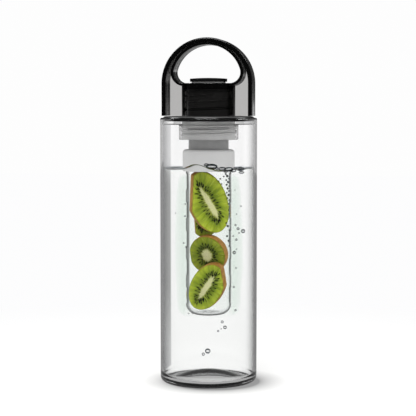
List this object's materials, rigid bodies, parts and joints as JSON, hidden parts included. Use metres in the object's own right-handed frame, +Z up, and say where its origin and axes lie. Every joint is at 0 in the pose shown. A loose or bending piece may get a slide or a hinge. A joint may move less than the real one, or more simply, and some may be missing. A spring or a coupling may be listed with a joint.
{
  "type": "fruit infuser water bottle",
  "caption": "Clear cylindrical water bottle with a smoke-black screw lid and carrying loop, a black mouthpiece on a threaded grey collar, and a slotted clear infuser basket holding kiwi slices.",
  "frame": {"origin": "centre of the base, on the surface that the bottle stands on", "axes": "+Z up along the bottle's axis, +X across the carrying loop, -Y towards the front"},
  "size_m": [0.073, 0.073, 0.2596],
  "materials": {
    "clear_copolyester": "clear, polished",
    "grey_polypropylene": "satin",
    "black_polypropylene": "gloss",
    "smoke_polycarbonate": "gloss, smoke tint",
    "black_silicone": "matte",
    "grey_silicone": "matte",
    "kiwi_flesh": "moist fruit"
  },
  "bodies": {
    "bottle": {"bottle_body": "clear_copolyester", "shoulder_ring": "clear_copolyester"},
    "gasket_ride": {"body_gasket": "black_silicone"},
    "infuser": {"mouthpiece": "black_polypropylene", "neck_collar": "grey_polypropylene", "basket_cap": "grey_polypropylene"},
    "lid_seal_ride": {"lid_seal": "black_silicone"},
    "lid": {"lid_frame": "smoke_polycarbonate", "vent_return_ring": "grey_silicone"},
    "vent": {"vent_button": "black_polypropylene", "vent_seal": "black_silicone"},
    "basket_seal_ride": {"basket_seal": "black_silicone"},
    "basket": {"basket_tube": "clear_copolyester", "kiwi_slice_1": "kiwi_flesh", "kiwi_slice_2": "kiwi_flesh", "kiwi_slice_3": "kiwi_flesh", "kiwi_slice_4": "kiwi_flesh"}
  },
  "joints": [
    {"name": "infuser_lift", "type": "slide", "parent": "bottle", "child": "gasket_ride", "axis": [0, 0, 1], "range_m": [0, 0.1861]},
    {"name": "infuser_turn", "type": "hinge", "parent": "gasket_ride", "child": "infuser", "pos_m": [0, 0, 0.19], "axis": [0, 0, 1], "range_deg": [0, 22320]},
    {"name": "lid_lift", "type": "slide", "parent": "infuser", "child": "lid_seal_ride", "axis": [0, 0, 1], "range_m": [0, 0.0361]},
    {"name": "lid_turn", "type": "hinge", "parent": "lid_seal_ride", "child": "lid", "pos_m": [0, 0, 0.21], "axis": [0, 0, 1], "range_deg": [0, 2880]},
    {"name": "vent_press", "type": "slide", "parent": "lid", "child": "vent", "axis": [0, 0, -1], "range_m": [0, 0.001], "stiffness_N_per_m": 400, "springref_m": -0.001, "deforming": ["vent_return_ring"]},
    {"name": "basket_drop", "type": "slide", "parent": "infuser", "child": "basket_seal_ride", "axis": [0, 0, -1], "range_m": [0, 0.0281]},
    {"name": "basket_turn", "type": "hinge", "parent": "basket_seal_ride", "child": "basket", "pos_m": [0, 0, 0.165], "axis": [0, 0, -1], "range_deg": [0, 2520]}
  ],
  "couplings": [
    {"joint": "infuser_lift", "follows": "infuser_turn", "m_per_rad": 0.00047746},
    {"joint": "lid_lift", "follows": "lid_turn", "m_per_rad": 0.0007162},
    {"joint": "basket_drop", "follows": "basket_turn", "m_per_rad": 0.00063662}
  ]
}
